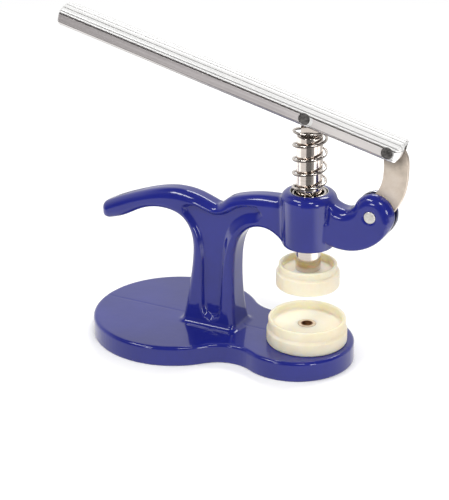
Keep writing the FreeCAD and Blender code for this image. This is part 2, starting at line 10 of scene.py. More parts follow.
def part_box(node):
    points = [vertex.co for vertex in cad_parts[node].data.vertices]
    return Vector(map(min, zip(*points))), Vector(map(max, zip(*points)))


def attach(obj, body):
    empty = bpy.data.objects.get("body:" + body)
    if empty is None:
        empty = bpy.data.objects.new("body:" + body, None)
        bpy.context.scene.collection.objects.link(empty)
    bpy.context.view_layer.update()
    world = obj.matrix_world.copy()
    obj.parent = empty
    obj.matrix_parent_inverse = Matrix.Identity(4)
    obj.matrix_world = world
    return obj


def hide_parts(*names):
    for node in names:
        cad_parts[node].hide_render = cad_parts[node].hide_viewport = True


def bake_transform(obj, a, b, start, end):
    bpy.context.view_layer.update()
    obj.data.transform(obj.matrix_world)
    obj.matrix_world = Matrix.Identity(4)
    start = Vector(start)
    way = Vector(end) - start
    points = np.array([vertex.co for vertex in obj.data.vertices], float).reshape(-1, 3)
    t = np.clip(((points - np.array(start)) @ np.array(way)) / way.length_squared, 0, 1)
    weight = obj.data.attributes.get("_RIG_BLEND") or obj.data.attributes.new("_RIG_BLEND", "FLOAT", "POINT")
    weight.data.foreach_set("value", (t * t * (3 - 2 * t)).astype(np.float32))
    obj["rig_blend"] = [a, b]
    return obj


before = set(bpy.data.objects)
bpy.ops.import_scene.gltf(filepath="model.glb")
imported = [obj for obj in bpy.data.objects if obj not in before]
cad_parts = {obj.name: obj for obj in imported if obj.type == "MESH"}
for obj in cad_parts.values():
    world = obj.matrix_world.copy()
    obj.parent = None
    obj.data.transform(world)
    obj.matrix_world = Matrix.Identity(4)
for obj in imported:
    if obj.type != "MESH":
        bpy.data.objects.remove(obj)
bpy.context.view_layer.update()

# Shapes are worked out in millimetres, in the row frame, and turned into metres when a mesh is made.
MM = 0.001
LATHE_STEPS = 128


def span(node):
    """Lowest and highest corner of a CAD node, in millimetres."""
    low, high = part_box(node)
    return np.array(low) / MM, np.array(high) / MM


def middle(node):
    low, high = span(node)
    return (low + high) / 2


CASTING_LOW, CASTING_HIGH = span("frame_casting")
PIVOT, LINK_PIN, NOSE_PIN = middle("plunger_pin"), middle("handle_link_pin"), middle("nose_pin")
BASE_TOP = span("lower_die")[0][2]
PIN_RADIUS = (span("nose_pin")[1][2] - span("nose_pin")[0][2]) / 2
RUNNING_GAP, OPEN_PIVOT_GAP = 0.05, 0.62


# ---- Curves ----

def arc(centre, radius, start, end, steps=14):
    """Points of a circle from one angle to another, in degrees."""
    turns = np.radians(np.linspace(start, end, steps))
    return [(centre[0] + radius * math.cos(t), centre[1] + radius * math.sin(t)) for t in turns]


def heading(angle, clockwise=True):
    """Unit direction of travel along a circle at this angle."""
    turn = math.radians(angle - 90 if clockwise else angle + 90)
    return (math.cos(turn), math.sin(turn))


def curve(points, leave=None, arrive=None, steps=8):
    """Smooth cubic through the points, leaving and arriving in the given directions if there are any."""
    knots = np.array(points, float)
    gaps = np.linalg.norm(np.diff(knots, axis=0), axis=1)
    count = len(knots)
    system, wanted = np.zeros((count, count)), np.zeros((count, knots.shape[1]))
    for k in range(1, count - 1):
        before, after = gaps[k - 1], gaps[k]
        system[k, k - 1:k + 2] = 1 / before, 2 / before + 2 / after, 1 / after
        wanted[k] = 3 * ((knots[k] - knots[k - 1]) / before ** 2 + (knots[k + 1] - knots[k]) / after ** 2)
    system[0, :2], wanted[0] = (2, 1), 3 * (knots[1] - knots[0]) / gaps[0]
    system[-1, -2:], wanted[-1] = (1, 2), 3 * (knots[-1] - knots[-2]) / gaps[-1]
    if leave is not None:
        system[0, :2], wanted[0] = (1, 0), leave
    if arrive is not None:
        system[-1, -2:], wanted[-1] = (0, 1), arrive
    slopes = np.linalg.solve(system, wanted)
    dense = []
    for k, gap in enumerate(gaps):
        for step in range(steps):
            u = step / steps
            near, near_slope = 2 * u ** 3 - 3 * u ** 2 + 1, u ** 3 - 2 * u ** 2 + u
            far, far_slope = 3 * u ** 2 - 2 * u ** 3, u ** 3 - u ** 2
            dense.append(tuple(near * knots[k] + near_slope * gap * slopes[k]
                               + far * knots[k + 1] + far_slope * gap * slopes[k + 1]))
    dense.append(tuple(knots[-1]))
    return dense


# ---- Distance fields ----

VOXEL = 0.5


def samples(low, high):
    """Grid places from low to high, on whole multiples of the voxel."""
    return np.arange(math.floor(low / VOXEL), math.ceil(high / VOXEL) + 1) * VOXEL


MARGIN = 3 * VOXEL
GRID_X = samples(CASTING_LOW[0] - MARGIN, CASTING_HIGH[0] + MARGIN)
GRID_Y = samples(0, CASTING_HIGH[1] + MARGIN)
GRID_Z = samples(CASTING_LOW[2] - MARGIN, CASTING_HIGH[2] + MARGIN)
X, Y, Z = GRID_X[:, None, None], GRID_Y[None, :, None], GRID_Z[None, None, :]


def edge_distance(u, v, points):
    """Distance to an open run of straight pieces."""
    best = np.full(np.broadcast(u, v).shape, np.inf)
    for (au, av), (bu, bv) in zip(points, points[1:]):
        eu, ev = bu - au, bv - av
        length = eu * eu + ev * ev
        if length < 1e-12:
            continue
        share = np.clip(((u - au) * eu + (v - av) * ev) / length, 0, 1)
        best = np.minimum(best, (u - au - eu * share) ** 2 + (v - av - ev * share) ** 2)
    return np.sqrt(best)


def outline_distance(u, v, points):
    """Distance to a closed outline, negative inside it."""
    ring = list(points) + [points[0]]
    inside = np.zeros(np.broadcast(u, v).shape, bool)
    for (au, av), (bu, bv) in zip(ring, ring[1:]):
        if av != bv:
            inside ^= ((av <= v) != (bv <= v)) & (u < au + (v - av) * (bu - au) / (bv - av))
    return np.where(inside, -1, 1) * edge_distance(u, v, ring)


def meet(first, second, rounding):
    """Where two solids overlap, with the edge between them rounded."""
    a, b = first + rounding, second + rounding
    return np.minimum(np.maximum(a, b), 0) + np.hypot(np.maximum(a, 0), np.maximum(b, 0)) - rounding


def merge(first, second, fillet):
    """Both solids, with a fillet where they join."""
    share = np.maximum(fillet - np.abs(first - second), 0) / fillet
    return np.minimum(first, second) - share ** 2 * fillet / 4


def ease(value):
    """Smooth step from 0 to 1."""
    value = np.clip(value, 0, 1)
    return value * value * (3 - 2 * value)


# ---- Casting ----

BOSS_TOP = 93.6
SEAT_DEPTH, SEAT_RADIUS, GUIDE_RADIUS = 2.4, 9.3, 6.55
NOSE_HALF = 7.5
SLOT_HALF = 1.6


def graded(from_wide, from_narrow, wide, narrow, fade):
    """Rounding of an outline's edge, wide near one part of it and narrow near the other."""
    share = ease((from_narrow - from_wide) / fade + 0.5)
    return (narrow + (wide - narrow) * share)[:, None, :]


def keyhole_outline():
    """Plan of the base: two lobes joined by hollow arcs."""
    heel_radius, toe_radius, hollow = CASTING_HIGH[1], 30.6, 20.0
    heel, toe = -77.5, -6.0
    gap = toe - heel
    along = (gap ** 2 + (heel_radius + hollow) ** 2 - (toe_radius + hollow) ** 2) / (2 * gap)
    across = math.sqrt((heel_radius + hollow) ** 2 - along ** 2)
    at_heel = math.degrees(math.atan2(across, along))
    at_toe = math.degrees(math.atan2(across, along - gap))
    upper = arc((heel, 0), heel_radius, 180, at_heel, 40)
    upper += arc((heel + along, across), hollow, at_heel - 180, at_toe - 180, 12)[1:]
    upper += arc((toe, 0), toe_radius, at_toe, 0, 40)[1:]
    return upper + [(x, -y) for x, y in reversed(upper[1:-1])]


def web_outline():
    """Side view of the column, horn and arm: the whole outline, then its upper, back and under edges."""
    tip, tip_radius = (-115.6, 64.7), 4.6
    valley, valley_radius = (-50.9, 81.9), 3.6
    tip_low, tip_end, tip_high = arc(tip, tip_radius, -75, -75, 1)[0], -180, -242
    tip_over = arc(tip, tip_radius, tip_high, tip_high, 1)[0]
    valley_in, valley_out = arc(valley, valley_radius, -108, -50, 2)
    back = curve([(-70.9, 4), (-68.4, 16), (-65.4, 36), (-63.9, 50), (-65, 61), (-70, 68.4), (-81, 71.6),
                  (-94.5, 69), (-107, 62.6), tip_low], arrive=heading(-75))
    crest = curve([tip_over, (-99.5, 76.8), (-87, 81), (-73, 83.2), (-61, 81.6), valley_in],
                  leave=heading(tip_high), arrive=heading(-108, clockwise=False))
    arm_top = curve([valley_out, (-44.4, 82.7), (-38, 85.4), (-24, 88.1), (-6, 88.6)],
                    leave=heading(-50, clockwise=False))
    arm_under = curve([(-6, 65.5), (-10, 65.3), (-13.5, 66.8), (-18, 69.7), (-24, 71), (-30.5, 69.3),
                       (-35.6, 64.5), (-38.8, 56), (-39.8, 44), (-39.6, 28), (-38.4, 15), (-36.2, 4)])
    nose = arc(tip, tip_radius, -75, tip_end)[1:] + arc(tip, tip_radius, tip_end, tip_high)[1:-1]
    top = crest + arc(valley, valley_radius, -108, -50)[1:-1] + arm_top
    return back + nose + top + arm_under, nose[len(nose) // 2:] + top, back + nose[:4], arm_under


def recess_outlines():
    """The Y-shaped recess in each side of the column: its mouth, and its smaller floor."""
    mouth = curve([(-58.1, 20), (-58.7, 40), (-60.1, 57), (-63.9, 65.6), (-68.7, 71.9)])
    mouth += curve([(-69.6, 75.2), (-66.2, 77.2), (-57.4, 76.1), (-50, 74.9), (-44, 76.8), (-37.5, 80.8),
                    (-31, 82.5), (-26, 82.8)])
    mouth += curve([(-22.4, 78.4), (-26, 74), (-31.6, 72.2), (-35.4, 69.2), (-38.9, 65), (-42.2, 58),
                    (-44.4, 49), (-45.5, 38), (-46, 20)])
    mouth += [(-47.4, 15.6), (-51.9, 13.4), (-56.4, 15.6)]
    floor = curve([(-56.4, 21), (-56.9, 40), (-58.1, 57), (-62, 66.2), (-66.9, 72.3)])
    floor += curve([(-67.2, 74.2), (-65.6, 75.5), (-57.4, 74.4), (-50, 73.2), (-44, 75.1), (-37.5, 79.1),
                    (-31, 80.9), (-26, 81.3)])
    floor += curve([(-24.6, 80.1), (-26, 78.9), (-31, 77.5), (-35.1, 75.7), (-39.2, 72.8), (-42.9, 68.1),
                    (-45, 62.6), (-46.2, 54), (-46.9, 44), (-47.4, 21)])
    floor += [(-48.6, 17.6), (-51.9, 16), (-55.2, 17.6)]
    return mouth, floor


def web_field():
    """Column, horn and arm: a flat plate with soft edges, recessed sides and a flared foot."""
    u, v = GRID_X[:, None], GRID_Z[None, :]
    outline, top, back, under = web_outline()
    side = outline_distance(u, v, outline)
    from_top = edge_distance(u, v, top)
    from_rest = np.minimum(edge_distance(u, v, back), edge_distance(u, v, under))
    rounding = graded(from_top, from_rest, wide=5.4, narrow=2.9, fade=8.0)

    half, depth, flare, flare_top = 7.2, 2.4, 2.6, 46.0
    mouth, floor = (outline_distance(u, v, line) for line in recess_outlines())
    share = np.clip(-mouth / (np.maximum(-mouth, 0) + np.maximum(floor, 0) + 1e-6), 0, 1)
    lean = np.clip((flare_top - v) / (flare_top - BASE_TOP), 0, 1.4) ** 2
    thickness = half + flare * lean - depth * (0.3 * ease(share) + 0.7 * share)
    slope = np.hypot(*np.gradient(thickness, VOXEL))
    across = (Y - thickness[:, None, :]) / np.sqrt(1 + slope ** 2)[:, None, :]
    return meet(side[:, None, :], across, rounding)


def base_field():
    """Keyhole plate with a rounded top edge, a little draft and a faint parting line."""
    plan = outline_distance(GRID_X[:, None], GRID_Y[None, :], keyhole_outline())[:, :, None]
    draft, groove_depth, groove_width = 0.035, 0.08, 0.5
    groove = groove_depth * np.exp(-(Y / groove_width) ** 2)
    top = meet(plan + draft * np.maximum(Z, 0), Z - BASE_TOP + groove, 1.7)
    return meet(top, -Z, 0.5)


def boss_field():
    """Plunger boss, a little wider at the top, with a soft rim."""
    low, high, foot, rim = 64.5, BOSS_TOP, 13.3, 14.3
    radius = foot + (rim - foot) * np.clip((Z - low) / (high - low), 0, 1)
    wall = np.hypot(X, Y) - radius
    return meet(meet(wall, Z - high, 4.2), low - Z, 1.3)


def nose_field():
    """Hooked nose that carries the link's lower pin."""
    crown, crown_radius = np.array([36.0, 88.0]), 10.7
    floor_x, floor = 20.5, 88.3
    run, step = crown[0] - floor_x, floor - crown[1]
    saddle_radius = (run ** 2 + step ** 2 - crown_radius ** 2) / (2 * (crown_radius - step))
    saddle, back_radius = np.array([floor_x, floor + saddle_radius]), 10.5
    under = np.array([21.7, 93.9])
    rise = math.degrees(math.atan2(*(crown - saddle)[::-1]))
    drop = math.degrees(math.atan2(*(crown - under)[::-1]))
    top = arc((floor_x, floor + back_radius), back_radius, 220, 270)
    top += arc(saddle, saddle_radius, -90, rise)[1:]
    turn = -32
    top += arc(crown, crown_radius, rise + 180, turn, 36)[1:]
    below = arc(crown, crown_radius, turn, drop, 8)[1:]
    below += arc(under, np.linalg.norm(crown - under) + crown_radius, drop, -120, 24)[1:]
    u, v = GRID_X[:, None], GRID_Z[None, :]
    side = outline_distance(u, v, top + below)
    rounding = graded(edge_distance(u, v, top), edge_distance(u, v, below), wide=5.4, narrow=1.5, fade=7.0)
    return meet(side[:, None, :], Y - NOSE_HALF, rounding)


def casting_cuts(solid):
    """Machined features: bore, spring seat, link slot, pin ring and the screw recess."""
    sharp, broken, worn = 0.1, 0.15, 0.35
    reach = np.hypot(X, Y)
    far, throat = 100, 40
    solid = meet(solid, GUIDE_RADIUS - reach - far * (Z < throat), 0.01)
    seat = np.maximum(reach - SEAT_RADIUS, BOSS_TOP - SEAT_DEPTH - Z)
    solid = meet(solid, -seat, broken)

    room = 7.4
    x, z = X - NOSE_PIN[0], Z - NOSE_PIN[2]
    well = np.where(z < 0, np.where(x < 0, np.hypot(x, z), -z), np.abs(np.minimum(x, 0))) - room
    slot = np.maximum(Y - SLOT_HALF, well)
    solid = meet(solid, -slot, worn)

    ring, ring_depth = PIN_RADIUS + 0.35, 0.5
    groove = np.maximum(np.hypot(x, z) - ring, NOSE_HALF - ring_depth - Y)
    solid = meet(solid, -groove, broken)

    recess_radius, recess_depth, shank = 5.4, 6.4, 3.3
    recess = np.maximum(reach - recess_radius, Z - recess_depth)
    through = np.maximum(reach - shank, Z - BASE_TOP - 1)
    return meet(meet(solid, -recess, sharp), -through, sharp)


def field_mesh(name, field):
    """Surface of a half field, mirrored in y = 0 and drawn onto the exact zero level."""
    whole = np.concatenate([field[:, :0:-1, :], field], axis=1).astype(np.float32)
    corner = np.array([round(GRID_X[0] / VOXEL), -(len(GRID_Y) - 1), round(GRID_Z[0] / VOXEL)])
    band = 4 * VOXEL
    grid = openvdb.FloatGrid(background=band)
    grid.copyFromArray(np.clip(whole, -band, band), ijk=tuple(int(k) for k in corner))
    points, _, quads = grid.convertToPolygons(isovalue=0.0, adaptivity=0.0)
    points = points.astype(float)
    for _ in range(3):
        points -= nearest_step(whole, points - corner)
    mesh = bpy.data.meshes.new(name)
    mesh.from_pydata((points * VOXEL * MM).tolist(), [], quads[:, ::-1].tolist())
    mesh.validate()
    return mesh


def nearest_step(values, places):
    """How far each point stands off the zero level, as a move in voxels."""
    cell = np.clip(np.floor(places).astype(int), 0, np.array(values.shape) - 2)
    part = places - cell
    corners = {}
    for i in (0, 1):
        for j in (0, 1):
            for k in (0, 1):
                corners[i, j, k] = values[cell[:, 0] + i, cell[:, 1] + j, cell[:, 2] + k].astype(float)

    def mix(along):
        total = 0
        for (i, j, k), value in corners.items():
            weights = [part[:, n] if bit else 1 - part[:, n] for n, bit in enumerate((i, j, k))]
            if along is not None:
                weights[along] = (1.0 if (i, j, k)[along] else -1.0) * np.ones(len(part))
            total = total + value * weights[0] * weights[1] * weights[2]
        return total

    distance = mix(None)
    slope = np.stack([mix(n) for n in range(3)], axis=1)
    steep = np.maximum((slope ** 2).sum(1), 0.05 * VOXEL ** 2)
    move = slope * (distance / steep)[:, None]
    return move * np.minimum(1, 0.4 / np.maximum(np.linalg.norm(move, axis=1), 1e-9))[:, None]


def casting():
    """The one-piece casting, with its cast fillets."""
    body = web_field()
    for part, fillet in ((base_field(), 3.0), (boss_field(), 2.2), (nose_field(), 0.9)):
        body = merge(body, part, fillet)
    mesh = field_mesh("press_casting", casting_cuts(body))
    add("press_casting", mesh, "frame", "blue_powder_coat", "frame_casting", smooth_by_area=False)


# ---- Mesh helpers ----

def row_faces(count, around, closed_run=False):
    """Faces over a row of equal rings, with one face on each end unless the row is a loop."""
    faces = []
    for i in range(count if closed_run else count - 1):
        here, there = i * around, (i + 1) % count * around
        for j in range(around):
            k = (j + 1) % around
            faces.append((here + j, here + k, there + k, there + j))
    if not closed_run:
        for ring, order in ((0, -1), (count - 1, 1)):
            faces.append(tuple(range(ring * around, (ring + 1) * around))[::order])
    return faces


def skin(name, rings, closed_run=False):
    """Mesh over a row of equal rings of points."""
    rings = np.array(rings, float)
    return built(name, list(rings.reshape(-1, 3)), row_faces(*rings.shape[:2], closed_run))


def built(name, points, faces):
    """Mesh from millimetre points, with doubles merged and faces turned outwards."""
    mesh = bpy.data.meshes.new(name)
    mesh.from_pydata([tuple(np.array(p) * MM) for p in points], [], faces)
    work = bmesh.new()
    work.from_mesh(mesh)
    bmesh.ops.remove_doubles(work, verts=work.verts, dist=1e-7)
    bmesh.ops.dissolve_degenerate(work, edges=work.edges, dist=1e-8)
    bmesh.ops.recalc_face_normals(work, faces=work.faces)
    work.to_mesh(mesh)
    work.free()
    return mesh


def rounded(corners, steps=5):
    """Outline with each corner (u, v, radius) rounded."""
    outline, count = [], len(corners)
    for k, (u, v, radius) in enumerate(corners):
        here = np.array([u, v], float)
        if not radius:
            outline.append(tuple(here))
            continue
        before = np.array(corners[k - 1][:2], float) - here
        after = np.array(corners[(k + 1) % count][:2], float) - here
        before, after = before / np.linalg.norm(before), after / np.linalg.norm(after)
        half = math.acos(max(-1.0, min(1.0, float(before @ after)))) / 2
        reach = radius / math.tan(half)
        first, last = here + before * reach, here + after * reach
        bisector = (before + after) / np.linalg.norm(before + after)
        centre = here + bisector * (radius / math.sin(half))
        start, end = first - centre, last - centre
        turn = math.atan2(start[0] * end[1] - start[1] * end[0], start @ end)
        for step in range(steps + 1):
            angle = turn * step / steps
            c, s = math.cos(angle), math.sin(angle)
            outline.append((centre[0] + c * start[0] - s * start[1], centre[1] + s * start[0] + c * start[1]))
    return outline


def lathe(name, profile, steps=LATHE_STEPS):
    """Solid of revolution about the Z axis, from a closed outline of (radius, height)."""
    rings = []
    for angle in np.linspace(0, 2 * math.pi, steps, endpoint=False):
        c, s = math.cos(angle), math.sin(angle)
        rings.append([(max(r, 0) * c, max(r, 0) * s, z) for r, z in profile])
    return skin(name, rings, closed_run=True)


def rod(name, radius, low, high, steps=64):
    """Plain round bar between two heights."""
    return lathe(name, [(0, low), (radius, low), (radius, high), (0, high)], steps=steps)


def placed(mesh, matrix):
    """The mesh placed by a matrix whose lengths are millimetres."""
    place = matrix.copy()
    place.translation *= MM
    mesh.transform(place)
    return mesh


def across(mesh, x, z):
    """A lathed mesh laid along Y with its axis through (x, z)."""
    return placed(mesh, Matrix.Translation((x, 0, z)) @ Matrix.Rotation(math.radians(-90), 4, "X"))


def plate(name, outline, low, high, edge):
    """Flat piece in the XZ plane between two y places, with rounded edges."""
    steps = 3
    ring = np.array(outline, float)
    ahead, behind = np.roll(ring, -1, axis=0), np.roll(ring, 1, axis=0)
    run = ahead - behind
    normal = np.stack([run[:, 1], -run[:, 0]], axis=1) / np.linalg.norm(run, axis=1)[:, None]
    area = (ring[:, 0] * ahead[:, 1] - ring[:, 1] * ahead[:, 0]).sum()
    normal *= math.copysign(1, area)
    rings = []
    turns = [math.pi / 2 * k / steps for k in range(steps + 1)]
    places = [(low + edge * (1 - math.sin(t)), edge * (1 - math.cos(t))) for t in reversed(turns)]
    places += [(high - edge * (1 - math.sin(t)), edge * (1 - math.cos(t))) for t in turns]
    for y, inset in places:
        flat = ring - normal * inset
        rings.append([(x, y, z) for x, z in flat])
    return skin(name, rings)


def linked(name, data):
    """New object in the scene."""
    made = bpy.data.objects.new(name, data)
    bpy.context.collection.objects.link(made)
    return made


def carve(mesh, cutters, operation="DIFFERENCE"):
    """The mesh after exact boolean work with each cutter in turn."""
    target = linked("carving", mesh)
    helpers = []
    for k, cutter in enumerate(cutters):
        helpers.append(linked(f"cutter_{k}", cutter))
        step = target.modifiers.new(f"cut_{k}", "BOOLEAN")
        step.operation, step.solver, step.object = operation, "EXACT", helpers[-1]
    graph = bpy.context.evaluated_depsgraph_get()
    result = bpy.data.meshes.new_from_object(target.evaluated_get(graph))
    result.name = mesh.name
    for item in [target] + helpers:
        bpy.data.objects.remove(item)
    return result


def shaded(name, mesh, slot, sharp):
    """New object in its material, shaded smooth up to the sharp angle."""
    piece = linked(name, mesh)
    mesh.materials.clear()
    mesh.materials.append(FINISH[slot])
    mesh.polygons.foreach_set("use_smooth", [True] * len(mesh.polygons))
    mesh.set_sharp_from_angle(angle=math.radians(sharp))
    return piece


def add(name, mesh, body, slot, *nodes, smooth_by_area=True, sharp=38.0):
    """A finished piece, riding on its body in place of its CAD nodes."""
    piece = shaded(name, mesh, slot, sharp)
    if smooth_by_area:
        normals = piece.modifiers.new("even_normals", "WEIGHTED_NORMAL")
        normals.keep_sharp = True
    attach(piece, body)
    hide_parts(*nodes)


# ---- Handle ----

HANDLE_TILT = math.atan2(PIVOT[2] - LINK_PIN[2], LINK_PIN[0] - PIVOT[0])
PIN_SPACING = math.hypot(*(LINK_PIN - PIVOT)[[0, 2]])
ALONG = np.array([math.cos(HANDLE_TILT), 0, -math.sin(HANDLE_TILT)])
UPWARD = np.array([math.sin(HANDLE_TILT), 0, math.cos(HANDLE_TILT)])
HANDLE_MATRIX = Matrix.Translation(Vector(PIVOT)) @ Matrix.Rotation(HANDLE_TILT, 4, "Y")


def node_reach(node, direction):
    """How far a CAD node reaches along a direction from the plunger pin, in millimetres."""
    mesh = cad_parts[node].data
    co = np.empty(len(mesh.vertices) * 3)
    mesh.vertices.foreach_get("co", co)
    along = (co.reshape(-1, 3) / MM - PIVOT) @ direction
    return along.min(), along.max()


HANDLE_TAIL, HANDLE_FRONT = node_reach("handle", ALONG)
HANDLE_UNDER, HANDLE_CROWN = node_reach("handle", UPWARD)
HANDLE_HALF = span("handle")[1][1]
HANDLE_WALL = 2.6
BEVEL_HEIGHT = 1.3
END_RADIUS = 14.0
SLOT_BACK, SLOT_ROOF = -9.0, 4.9
CROWN_RISE = HANDLE_CROWN - HANDLE_WALL
CROWN_RADIUS = (HANDLE_HALF ** 2 + CROWN_RISE ** 2) / (2 * CROWN_RISE)
CROWN_CENTRE = HANDLE_CROWN - CROWN_RADIUS
GROOVE_STEP, GROOVE_COUNT = math.radians(14.9), 7
SPOT_RADIUS, SPOT_SHIFT = 3.8, 0.9


def handle_section():
    """Cross section (y, height): flat sides, a groove above each, and a ribbed crown."""
    edge = math.asin(HANDLE_HALF / CROWN_RADIUS)
    lip, depth, swell = math.radians(2.0), 0.5, 0.12
    grooves = [(k - (GROOVE_COUNT - 1) / 2) * GROOVE_STEP for k in range(GROOVE_COUNT)]

    def on_crown(angle, sink):
        reach = CROWN_RADIUS - sink
        return (reach * math.sin(angle), CROWN_CENTRE + reach * math.cos(angle))

    bevel, soft, notch, notch_low, notch_high = 0.9, 0.2, 0.62, 0.75, 0.45
    side = [(HANDLE_HALF - bevel, HANDLE_UNDER, soft), (HANDLE_HALF, HANDLE_UNDER + BEVEL_HEIGHT, soft),
            (HANDLE_HALF, HANDLE_WALL - notch_low, 0.25),
            (HANDLE_HALF - notch, HANDLE_WALL - notch_high, 0.1)]
    far_side = [(-y, height, radius) for y, height, radius in reversed(side)]
    low = rounded(far_side[-1:] + side + [(0, HANDLE_CROWN, 0)] + far_side[:-1], steps=3)
    top = low.index((0.0, HANDLE_CROWN))
    ends = [edge - 0.03] + sorted(grooves, reverse=True) + [-edge + 0.03]
    crown = []
    for k, (start, stop) in enumerate(zip(ends, ends[1:])):
        first = start if k == 0 else start - lip
        last = stop if k == len(ends) - 2 else stop + lip
        for share in np.linspace(0, 1, 6):
            angle = first + (last - first) * share
            crown.append(on_crown(angle, -swell * math.sin(math.pi * share) + swell))
        if k < len(ends) - 2:
            crown += [on_crown(stop + lip * 0.45, depth * 0.7), on_crown(stop, depth),
                      on_crown(stop - lip * 0.45, depth * 0.7)]
    return low[:top] + crown + low[top + 1:]


def handle_cutters():
    """Slot for the tang and link, pin holes with their machined rings, and the centre mark in the end."""
    floor, depth, beyond = HANDLE_UNDER - 3, HANDLE_HALF + 2, HANDLE_FRONT + 9.2
    slot = [(SLOT_BACK, -SLOT_HALF), (beyond, -SLOT_HALF), (beyond, SLOT_HALF), (SLOT_BACK, SLOT_HALF)]
    slot += arc((SLOT_BACK, 0), SLOT_HALF, 90, 270, 12)[1:-1]
    cutters = [skin("slot", [[(s, y, floor) for s, y in slot], [(s, y, SLOT_ROOF) for s, y in slot]])]
    wall = HANDLE_HALF - 0.3
    for s in (0, PIN_SPACING):
        cutters.append(across(rod("hole", PIN_RADIUS + 0.03, -depth, depth), s, 0))
        for low, high in ((wall, depth), (-depth, -wall)):
            cutters.append(across(rod("spot", SPOT_RADIUS, low, high), s + SPOT_SHIFT, 0))
    tip = Matrix.Translation((HANDLE_FRONT - 0.2, 0, HANDLE_CROWN - 0.35))
    mark = rod("mark", 0.75, -3, 3, steps=32)
    return cutters + [placed(mark, tip @ Matrix.Rotation(math.radians(50), 4, "Y"))]


def handle():
    """Long bar with softened ends, the short one rounded in plan."""
    section = np.array(handle_section())
    heart = np.array([0, (HANDLE_UNDER + HANDLE_CROWN) / 2])
    size = np.linalg.norm(section - heart, axis=1)
    plan = HANDLE_FRONT - END_RADIUS
    rings = []

    def ring(inset, place):
        flat = heart + (section - heart) * (1 - inset / size)[:, None]
        rings.append([(place(y), y, height) for y, height in flat])

    for inset, back in ((1.6, 0), (0.8, 0.3), (0.25, 0.9), (0, 1.7)):
        ring(inset, lambda y: HANDLE_TAIL + back)
    for stop in np.linspace(HANDLE_TAIL, HANDLE_FRONT - 6, 24)[1:]:
        ring(0, lambda y: stop)
    soft, steps = 1.1, 6
    for k in range(steps + 1):
        turn = math.pi / 2 * k / steps
        ring(soft * (1 - math.cos(turn)),
             lambda y: plan + math.sqrt(END_RADIUS ** 2 - y * y) - soft + soft * math.sin(turn))
    face = heart + (section - heart) * (1 - soft / size)[:, None]
    for share in (0.8, 0.6, 0.4, 0.2):
        flat = heart + (face - heart) * share
        rings.append([(plan + math.sqrt(END_RADIUS ** 2 - y * y), y, height) for y, height in flat])
    mesh = skin("press_handle", rings)
    mesh = placed(carve(mesh, handle_cutters()), HANDLE_MATRIX)
    add("press_handle", mesh, "handle", "ribbed_aluminium", "handle", sharp=28)


# ---- Turned and flat pieces ----

def pin(name, node, body, slot, crown=0.25):
    """Pivot pin with a chamfer and a slightly domed end."""
    half, edge = span(node)[1][1], 0.3
    side = [(PIN_RADIUS, half - edge), (PIN_RADIUS - edge, half)]
    dome = [(PIN_RADIUS * out, half + crown * up) for out, up in ((0.7, 0.35), (0.35, 0.8), (0, 1))]
    outline = side + dome
    profile = [(r, -z) for r, z in reversed(outline)] + outline
    centre = middle(node)
    mesh = across(lathe(name, profile, steps=72), centre[0], centre[2])
    add(name, mesh, body, slot, node)


def link():
    """Bowed plate from the handle's pin to the nose pin."""
    low, high = span("link_plate")
    top, foot = LINK_PIN[[0, 2]], NOSE_PIN[[0, 2]]
    top_radius, foot_radius = 4.4, 6.2
    top_left = (top[0] - 4.3, top[1] - 0.9)
    top_right = (top[0] + 3.1, top[1] + 3.1)
    foot_left = (foot[0] - foot_radius, foot[1] + 0.4)
    foot_right = (foot[0] + 4.4, foot[1] - 4.4)
    outer = curve([top_right, (50.6, 121.2), (52, 112.8), (50.9, 101.6), (47.2, 92.6), foot_right], steps=14)
    inner = curve([foot_left, (31.6, 93.2), (36.8, 100), (39.3, 108), (39.4, 116), top_left], steps=14)
    outline = arc(top, top_radius, 190, 45, 20)[1:-1] + outer
    outline += arc(foot, foot_radius, -45, -184, 20)[1:-1] + inner
    mesh = plate("press_link", outline, low[1], high[1], edge=0.4)
    holes = []
    for centre, gap in ((top, RUNNING_GAP), (foot, OPEN_PIVOT_GAP)):
        holes.append(across(rod("hole", PIN_RADIUS + gap, -3, 3), *centre))
    add("press_link", carve(mesh, holes), "link", "link_steel", "link_plate")


def plunger():
    """Nickel-plated bar with a flat tang that reaches into the handle's slot."""
    low, high = span("plunger")
    radius, foot, shoulder = high[1], low[2], 123.0
    bar = lathe("press_plunger", rounded([(0, foot, 0), (radius, foot, 0.5), (radius, shoulder, 0.7),
                                          (0, shoulder, 0)]))
    half, tang = 4.5, 1.45
    outline = [(-half, shoulder - 3), (half, shoulder - 3)] + arc((0, PIVOT[2]), half, 0, 180, 30)
    blade = plate("tang", outline, -tang, tang, edge=0.2)
    eye = across(rod("eye", PIN_RADIUS + RUNNING_GAP, -3, 3), 0, PIVOT[2])
    width, below, deep = 2.96, foot - 1, foot + 12
    socket = lathe("socket", [(0, below), (width, below), (width, deep), (0, deep + 1.5)], steps=64)
    mesh = carve(carve(bar, [blade], "UNION"), [eye, socket])
    add("press_plunger", mesh, "plunger", "nickel_plate", "plunger")


